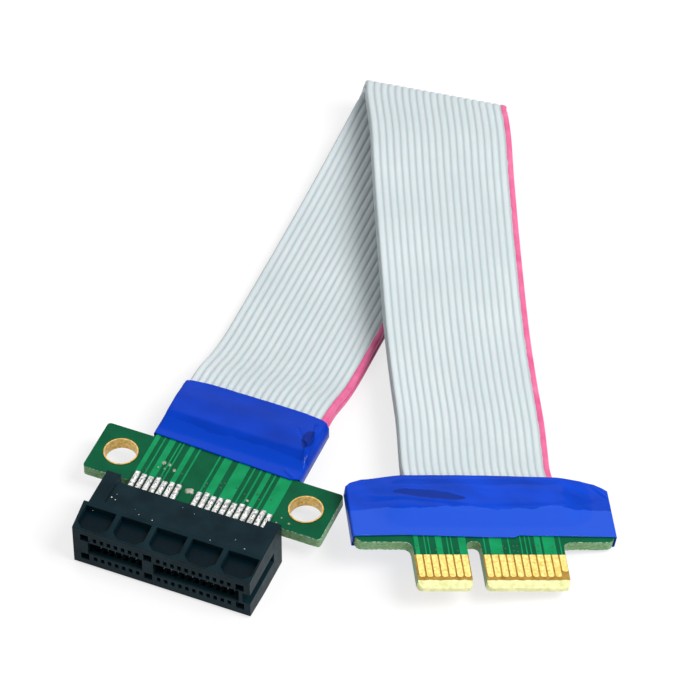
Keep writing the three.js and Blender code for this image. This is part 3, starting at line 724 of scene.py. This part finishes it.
@dataclass
class TapeWrap:
    """A film of tape round a board and the ribbons' ends. Sizes are in millimetres.

    Attributes:
        node: The CAD node that it stands for.
        place: Frame of the board's middle plane.
        side: Lowest and highest x.
        front: Line of the front edge as x and y points.
        rear: Line of the rear edge as x and y points.
        middle: Middle of the ribbons along x.
        lift: y where the film starts to rise, is full, starts to fall and ends.
        creases: Lines of creases, with half width and height each.
    """

    node: str
    place: Matrix
    side: tuple[float, float]
    front: list[tuple[float, float]]
    rear: list[tuple[float, float]]
    middle: float
    lift: tuple[float, float, float, float]
    creases: list[tuple[list[tuple[float, float]], float, float]]
    spread: float = 5.0
    across: int = 130
    along: int = 56
    low: float = 1.0
    high: float = 1.99
    rear_height: float = 1.52
    thickness: float = 0.1
    fold: float = 0.12

    @staticmethod
    def line_at(line: list[tuple[float, float]], x: float) -> float:
        """Height of a line of points at x, with soft bends.

        Args:
            line: The points, by rising x.
            x: The place.

        Returns:
            The line's y at x.
        """
        for (ax, ay), (bx, by) in zip(line, line[1:]):
            if x <= bx:
                t = min(max((x - ax) / (bx - ax), 0.0), 1.0)
                return ay + (by - ay) * t
        return line[-1][1]

    def height(self, x: float, y: float, creased: bool) -> float:
        """The film's distance from the board's middle plane.

        Args:
            x: Place along the board.
            y: Place from the board's front.
            creased: Whether this face has the creases.

        Returns:
            The height.
        """
        reach = CONDUCTORS * CONDUCTOR_PITCH / MM / 2 + 0.25
        room = min(self.middle - reach - self.side[0], self.side[1] - reach - self.middle)
        ramp = min(self.spread, room - self.fold)
        cover = 1 - smooth_step(reach, reach + ramp, abs(x - self.middle))
        start, full, fall, end = self.lift
        rise = smooth_step(start, full, y)
        top = self.high + (self.rear_height - self.high) * smooth_step(fall, end, y)
        height = self.low + (top - self.low) * rise * cover
        if creased:
            height += sum(size * ridge(x, y, line, width) for line, width, size in self.creases)
            height += 0.018 * math.sin(1.3 * x + 0.9 * y) * math.sin(0.8 * y - 0.5 * x) * rise
        return height

    def rings(self) -> list[list[Vector]]:
        """Places of the film's outer points, ring by ring.

        Returns:
            The rings from front to rear.
        """
        low, high = self.side
        xs = [low + self.fold + (high - low - 2 * self.fold) * i / self.across for i in range(self.across + 1)]
        coarse = xs[::5]
        rings = []
        for j in range(self.along + 1):
            share = j / self.along
            ring = []
            for x, face in [(x, Face.TOP) for x in xs] + [(x, Face.UNDER) for x in reversed(coarse)]:
                y0, y1 = self.line_at(self.front, x), self.line_at(self.rear, x)
                y = y0 + (y1 - y0) * share
                ring.append(Vector((x, y, face.value * self.height(x, y, face is Face.TOP))) * MM)
                if x == xs[-1] and face is Face.TOP:
                    ring += [Vector((high, y, z)) * MM for z in (self.low - self.fold, self.fold - self.low)]
            y = ring[0].y / MM
            ring += [Vector((low, y, z)) * MM for z in (self.fold - self.low, self.low - self.fold)]
            rings.append([self.place @ point for point in ring])
        return rings

    def build(self, material: bpy.types.Material) -> bpy.types.Object:
        """Makes the film.

        Args:
            material: The film's material.

        Returns:
            The tape.
        """
        mesh = bmesh.new()
        extrude_rings(mesh, self.rings())
        bmesh.ops.recalc_face_normals(mesh, faces=mesh.faces[:])
        bmesh.ops.solidify(mesh, geom=mesh.faces[:], thickness=self.thickness * MM)
        bmesh.ops.recalc_face_normals(mesh, faces=mesh.faces[:])
        piece = new_piece(f"{self.node}_film", mesh, material)
        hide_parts(self.node)
        return piece


@dataclass
class BevelledNode:
    """A copy of a hard CAD node with softened edges.

    Attributes:
        node: The CAD node.
        slot: The record's material slot; not used.
        edge: Radius of the softened edges.
    """

    node: str
    slot: str
    edge: float

    def build(self, material: bpy.types.Material) -> bpy.types.Object:
        """Makes the softened copy.

        Args:
            material: Its material.

        Returns:
            The piece that stands for the node.
        """
        mesh = bmesh.new()
        mesh.from_mesh(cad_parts[self.node].data)
        bmesh.ops.remove_doubles(mesh, verts=mesh.verts[:], dist=1e-6)
        piece = new_piece(f"{self.node}_finished", mesh, material, smooth=False)
        bevel = piece.modifiers.new("soft_edges", "BEVEL")
        bevel.width = self.edge
        bevel.segments = 2
        bevel.limit_method = "ANGLE"
        bevel.angle_limit = math.radians(25)
        bevel.use_clamp_overlap = False
        bevel.harden_normals = False
        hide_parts(self.node)
        return piece


@dataclass
class ContactMetal:
    """Finishes of the contacts, their solder and the gold fingers.

    Attributes:
        places: Contact places from the middle of the key.
    """

    places: tuple[float, ...] = tuple(
        [-1.5 - i for i in range(6, -1, -1)] + [1.5 + i for i in range(11)])

    def dress_contacts(self, tin: bpy.types.Material, gold: bpy.types.Material) -> None:
        """Gives the contacts and the hole linings their metal."""
        for name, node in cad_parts.items():
            if "_contact_" in name:
                self.dress(node, tin)
            elif name.endswith("_hole_lining"):
                self.dress(node, gold)

    @staticmethod
    def dress(node: bpy.types.Object, material: bpy.types.Material) -> None:
        """Puts one material on a CAD node."""
        node.data.materials.clear()
        node.data.materials.append(material)

    def build_solder(self, material: bpy.types.Material) -> None:
        """Makes the solder that covers the tails on both faces of the socket board.

        Args:
            material: The solder's material.
        """
        mesh = bmesh.new()
        for face in Face:
            level = SLOT_LEVEL + face.value * (BOARD_THICKNESS / 2 + 0.09 * MM)
            for i, place in enumerate(self.places):
                x = KEY_OFFSET + place * MM
                rear = (8.45 + 0.16 * math.sin(i * 2.4 + face.value)) * MM
                depth = sorted((level, level + face.value * 0.42 * MM))
                add_block(mesh, (x - 0.37 * MM, 4.12 * MM, depth[0]), (x + 0.37 * MM, rear, depth[1]), 0.16 * MM, 3)
                crown = Matrix.Translation((x + 0.05 * MM * math.sin(i * 1.7), rear - 1.1 * MM, level)) @ Matrix.Diagonal(
                    (0.30 * MM, 0.75 * MM, 0.52 * MM, 1.0))
                bmesh.ops.create_icosphere(mesh, subdivisions=3, radius=1.0, matrix=crown)
        new_piece("tail_solder", mesh, material)

    def build_fingers(self, material: bpy.types.Material) -> None:
        """Makes the gold fingers, with round front ends, over the edge board's lands.

        Args:
            material: The gold's material.
        """
        mesh = bmesh.new()
        half, rear = 0.385 * MM, 5.27 * MM
        for face in Face:
            level = 0.0 if face is Face.TOP else -BOARD_THICKNESS
            for i, place in enumerate(self.places):
                front = (2.4 if i == len(self.places) - 1 else 1.5) * MM
                verts = add_block(mesh, (place * MM - half, front, level - 0.06 * MM),
                                  (place * MM + half, rear, level + 0.06 * MM))
                ends = [e for e in {e for v in verts for e in v.link_edges}
                        if all(abs(v.co.y - front) < 1e-7 for v in e.verts) and abs(e.verts[0].co.x - e.verts[1].co.x) < 1e-7]
                bmesh.ops.bevel(mesh, geom=ends, offset=0.27 * MM, offset_type="OFFSET", affect="EDGES", segments=4,
                                profile=0.5, material=-1)
        bmesh.ops.transform(mesh, matrix=EDGE_PLACE, verts=mesh.verts[:])
        new_piece("gold_fingers", mesh, material, smooth=False)


@dataclass
class Traces:
    """Copper under the mask: paler bands on the boards.

    Attributes:
        name: The piece's name.
        place: The board's frame.
        bands: Low x and high x of each band in mm.
        span: Low y and high y of all bands in mm.
        top: Level of the board's top face.
    """

    name: str
    place: Matrix
    bands: list[tuple[float, float]]
    span: tuple[float, float]
    top: float
    rise: float = 0.015 * MM

    def build(self, material: bpy.types.Material) -> None:
        """Makes the bands on both faces.

        Args:
            material: The copper's material.
        """
        mesh = bmesh.new()
        for face in Face:
            level = self.top if face is Face.TOP else self.top - BOARD_THICKNESS
            depth = sorted((level - face.value * 0.01 * MM, level + face.value * self.rise))
            for x0, x1 in self.bands:
                add_block(mesh, (x0 * MM, self.span[0] * MM, depth[0]), (x1 * MM, self.span[1] * MM, depth[1]))
        bmesh.ops.transform(mesh, matrix=self.place, verts=mesh.verts[:])
        new_piece(self.name, mesh, material, smooth=False)


@dataclass
class Specks:
    """Small round things on a surface: vias, flux, dust.

    Attributes:
        name: The piece's name.
        slot: The record's material slot; not used.
        place: Frame of the surface.
        level: The surface's level.
        height: How far each one stands out, as a share of its radius.
        spots: x, y and radius of each in mm.
    """

    name: str
    slot: str
    place: Matrix
    level: float
    height: float
    spots: list[tuple[float, float, float]]
    rough: float = 0.0

    def build(self, material: bpy.types.Material) -> None:
        """Makes the specks.

        Args:
            material: Their material.
        """
        mesh = bmesh.new()
        for i, (x, y, radius) in enumerate(self.spots):
            turn = Matrix.Rotation(1.7 * i, 4, "Z")
            size = Matrix.Diagonal((radius * (1 + self.rough * math.sin(2.1 * i)), radius, radius * self.height, 1.0))
            place = Matrix.Translation((x * MM, y * MM, self.level)) @ turn @ size @ Matrix.Scale(MM, 4)
            verts = bmesh.ops.create_icosphere(mesh, subdivisions=2, radius=1.0, matrix=place)["verts"]
            for k, vert in enumerate(verts):
                vert.co += (vert.co - place.translation) * self.rough * 0.5 * math.sin(3.7 * k + i)
        bmesh.ops.transform(mesh, matrix=self.place, verts=mesh.verts[:])
        new_piece(self.name, mesh, material)


@dataclass
class Studio:
    """Camera, lamps, table and surroundings."""

    target: tuple[float, float, float] = (6.06 * MM, 43.69 * MM, 0.0)
    distance: float = 0.5724
    elevation: float = 46.807
    azimuth: float = 22.496
    lens: float = 214.9

    def direction(self, azimuth: float, elevation: float) -> Vector:
        """A unit vector from the target, by angles in degrees."""
        a, e = math.radians(azimuth), math.radians(elevation)
        return Vector((math.sin(a) * math.cos(e), -math.cos(a) * math.cos(e), math.sin(e)))

    def build_camera(self) -> None:
        """Places the camera at the photograph's view."""
        data = bpy.data.cameras.new("camera")
        data.lens = self.lens
        data.sensor_width = 36.0
        data.clip_start = 0.01
        camera = bpy.data.objects.new("camera", data)
        back = self.direction(self.azimuth, self.elevation)
        camera.location = Vector(self.target) + back * self.distance
        camera.rotation_euler = back.to_track_quat("Z", "Y").to_euler()
        bpy.context.scene.collection.objects.link(camera)
        bpy.context.scene.camera = camera

    def add_lamp(self, name: str, azimuth: float, elevation: float, size: float, power: float) -> None:
        """Adds a square lamp that faces the object.

        Args:
            name: Its name.
            azimuth: Direction in degrees.
            elevation: Height in degrees.
            size: Side in metres.
            power: Power in watts.
        """
        data = bpy.data.lights.new(name, "AREA")
        data.size = size
        data.energy = power
        lamp = bpy.data.objects.new(name, data)
        toward = self.direction(azimuth, elevation)
        lamp.location = Vector(self.target) + toward * 0.7
        lamp.rotation_euler = toward.to_track_quat("Z", "Y").to_euler()
        bpy.context.scene.collection.objects.link(lamp)

    def build_surroundings(self) -> None:
        """Makes the table, the lamps and the world."""
        mesh = bmesh.new()
        bmesh.ops.create_grid(mesh, x_segments=2, y_segments=2, size=3.0)
        data = bpy.data.meshes.new("table")
        mesh.to_mesh(data)
        mesh.free()
        data.materials.append(WhiteTable().build())
        table = bpy.data.objects.new("table", data)
        bpy.context.scene.collection.objects.link(table)
        self.add_lamp("lamp_over", self.azimuth + 62, 52, 0.35, 4.9)
        self.add_lamp("lamp_side", self.azimuth - 60, 40, 0.6, 0.7)
        self.add_lamp("lamp_back", self.azimuth + 175, 45, 0.6, 1.4)
        world = bpy.data.worlds.new("white_room")
        bpy.context.scene.world = world
        world.use_nodes = True
        world.node_tree.nodes["Background"].inputs["Color"].default_value = (1.0, 1.0, 1.0, 1.0)
        world.node_tree.nodes["Background"].inputs["Strength"].default_value = 0.33
        bpy.context.scene.view_settings.view_transform = "Standard"


SOCKET_BANDS = [
    (-10.15, -9.5), (-8.9, -8.7), (-8.15, -7.25), (-6.7, -6.5), (-6.2, -6.0), (-5.15, -4.45), (-3.82, -3.58),
    (-0.87, -0.63), (-0.12, 1.05), (1.92, 3.65), (4.2, 4.42), (5.15, 5.4), (6.0, 6.72), (7.22, 7.45), (8.0, 9.72),
]
EDGE_BANDS = [
    (-7.85, -7.28), (-6.55, -6.4), (-6.03, -5.88), (-5.02, -4.2), (-3.55, -3.38), (-3.04, -2.88), (-2.0, -1.0),
    (1.33, 1.5), (2.1, 3.75), (4.55, 4.72), (6.2, 6.36), (6.82, 6.98), (7.4, 7.56), (8.12, 8.9), (9.2, 10.85),
    (11.42, 11.6),
]
SOCKET_VIAS = [
    (-0.57, 9.68), (-0.5, 10.31), (1.17, 11.02), (1.7, 11.23), (1.48, 10.32), (3.45, 11.14), (4.83, 10.48),
    (6.41, 11.13), (6.91, 10.32), (8.49, 10.97), (-4.27, 10.62), (-6.49, 9.28), (-8.95, 9.51),
]
EDGE_VIAS = [
    (-7.76, 6.26), (-7.6, 6.86), (-5.1, 6.11), (-2.29, 5.95), (3.79, 6.79), (4.12, 6.37), (3.62, 5.9), (5.19, 6.8),
    (5.7, 6.8), (5.19, 5.98), (5.68, 5.81), (8.17, 6.81), (8.63, 6.81), (8.35, 5.95), (10.39, 6.65), (10.3, 5.83),
]
FLUX = [
    (-7.17, 11.49, 0.32), (-6.35, 11.41, 0.22), (-5.43, 10.76, 0.34), (-6.7, 10.6, 0.16), (-2.14, 8.2, 0.5),
    (-1.6, 8.0, 0.25), (-7.6, 10.5, 0.14), (5.6, 9.6, 0.18), (10.9, 8.6, 0.14), (12.2, 8.0, 0.16), (10.6, 7.6, 0.12),
]
DUST = [
    (-9.9, 1.1, 0.12), (-9.3, 0.9, 0.07), (-9.5, 1.8, 0.05), (-3.4, -0.5, 0.07), (-5.4, -0.3, 0.05), (-6.2, 0.4, 0.05),
    (9.6, -0.4, 0.06), (4.9, -0.7, 0.05), (1.2, 2.6, 0.04), (-0.6, 3.0, 0.04), (7.9, 0.6, 0.04), (-11.2, -1.9, 0.05),
]


SOCKET_CREASES = [
    ([(9.9, 18.2), (9.5, 20.0), (9.8, 22.2), (9.2, 24.6)], 0.22, 0.16),
    ([(8.6, 21.4), (9.3, 21.0), (9.9, 20.2)], 0.16, 0.12), ([(7.2, 22.9), (8.4, 21.6), (8.9, 20.6)], 0.2, -0.10),
    ([(-10.0, 22.4), (-3.0, 22.6), (2.0, 21.6), (6.4, 22.4)], 0.9, 0.04),
    ([(8.2, 16.2), (9.6, 15.5)], 0.2, 0.14),
]
EDGE_CREASES = [
    ([(-13.4, 14.3), (-9.0, 13.7), (-3.4, 13.2), (-0.7, 12.4), (1.1, 12.5), (5.8, 12.8), (10.9, 13.0), (15.2, 13.5),
      (18.0, 14.6)], 0.28, -0.07),
    ([(-13.0, 15.3), (-9.9, 14.5), (-5.8, 14.0), (-2.6, 13.6), (-0.6, 13.2)], 0.25, 0.07),
    ([(17.3, 17.1), (18.2, 16.0), (18.9, 15.2)], 0.16, 0.16),
    ([(2.0, 15.9), (9.0, 15.6), (14.0, 15.1), (17.6, 14.2)], 0.5, 0.06),
    ([(-14.6, 16.2), (-10.0, 16.4), (-6.0, 16.3)], 0.5, 0.05),
]


def main() -> None:
    """Builds the scene."""
    logging.basicConfig(level=logging.INFO, format="%(name)s %(message)s")
    studio = Studio()
    studio.build_camera()
    RibbonPair().build()
    level = Matrix.Identity(4)
    socket_film = TapeFilm("socket_film", level, (0.001, 0.036, 0.40), (0.002, 0.045, 0.46), 18.4 * MM,
                           (9.2 * MM, 21.6 * MM, 0.9 * MM, 1.6 * MM, -0.2))
    TapeWrap("socket_tape", Matrix.Translation((0, 0, SLOT_LEVEL)), (-10.6, 10.6),
             [(-10.6, 15.75), (9.4, 15.0), (10.6, 15.45)],
             [(-10.6, 25.5), (-9.6, 25.9), (-7.0, 26.2), (0.0, 26.25), (7.0, 26.2), (9.6, 25.9), (10.6, 25.4)], 0.0,
             (16.4, 20.0, 22.2, 26.0), SOCKET_CREASES).build(socket_film.build())
    edge_film = TapeFilm("edge_film", EDGE_PLACE, (0.003, 0.045, 0.45), (0.016, 0.075, 0.54), 12.6 * MM,
                         (-4.9 * MM, 14.7 * MM, 4.9 * MM, 0.75 * MM, -0.13))
    TapeWrap("edge_tape", EDGE_PLACE @ Matrix.Translation((0, 0, -BOARD_THICKNESS / 2)), (-15.8, 19.3),
             [(-15.8, 8.35), (-9.0, 8.55), (2.6, 8.15), (5.75, 8.15), (5.9, 8.5), (19.3, 8.25)],
             [(-15.8, 16.9), (-15.2, 17.5), (-13.6, 18.1), (-8.0, 18.45), (0.0, 18.5), (5.0, 18.4), (11.8, 18.2),
              (15.7, 17.9), (17.6, 17.4), (18.6, 16.8), (19.3, 16.2)], 2.0,
             (9.2, 13.5, 16.0, 18.4), EDGE_CREASES).build(edge_film.build())
    BevelledNode("socket_housing", "housing", 0.05 * MM).build(HousingPlastic().build())
    socket_mask = SolderMask("socket_mask", level, SLOT_LEVEL + BOARD_THICKNESS / 2, -1.0, -1.0)
    edge_mask = SolderMask("edge_mask", EDGE_PLACE, 0.0, 1.2 * MM, 5.28 * MM)
    BevelledNode("socket_board", "board", 0.03 * MM).build(socket_mask.build())
    BevelledNode("edge_board", "board", 0.03 * MM).build(edge_mask.build())
    copper = CopperUnderMask().build()
    socket_top = SLOT_LEVEL + BOARD_THICKNESS / 2
    Traces("socket_traces", level, SOCKET_BANDS, (8.2, 15.9), socket_top).build(copper)
    Traces("edge_traces", EDGE_PLACE, EDGE_BANDS, (5.29, 9.0), 0.0).build(copper)
    via = PlatedMetal("via_mask", (0.0, 0.055, 0.022), (0.0, 0.085, 0.035), 0.35, 0.000004, 0.0).build()
    Specks("socket_vias", "board", level, socket_top + 0.015 * MM, 0.12,
           [(x, y, 0.17) for x, y in SOCKET_VIAS]).build(via)
    Specks("edge_vias", "board", EDGE_PLACE, 0.015 * MM, 0.12, [(x, y, 0.14) for x, y in EDGE_VIAS]).build(via)
    flux = PlatedMetal("flux_residue", (0.12, 0.20, 0.12), (0.42, 0.42, 0.34), 0.3, 0.00002, 0.0).build()
    Specks("flux", "board", level, socket_top, 0.22, FLUX, 0.35).build(flux)
    dust = PlatedMetal("dust", (0.35, 0.42, 0.44), (0.70, 0.76, 0.78), 0.8, 0.00001, 0.0).build()
    Specks("dust", "housing", level, 7.4 * MM, 0.5, DUST, 0.3).build(dust)
    tin = PlatedMetal("tinned_contact", (0.42, 0.40, 0.37), (0.75, 0.75, 0.74), 0.3, 0.00001)
    gold = PlatedMetal("gold_plate", (0.72, 0.46, 0.10), (0.95, 0.72, 0.26), 0.28, 0.000006)
    lining = PlatedMetal("lining_gold", (0.42, 0.26, 0.07), (0.70, 0.46, 0.15), 0.3, 0.000006)
    solder = PlatedMetal("solder", (0.22, 0.20, 0.19), (0.86, 0.86, 0.86), 0.35, 0.00006, 0.6)
    metal = ContactMetal()
    gold_material = gold.build()
    metal.dress_contacts(tin.build(), lining.build())
    metal.build_solder(solder.build())
    metal.build_fingers(gold_material)
    studio.build_surroundings()


if __name__ == "__main__":
    main()
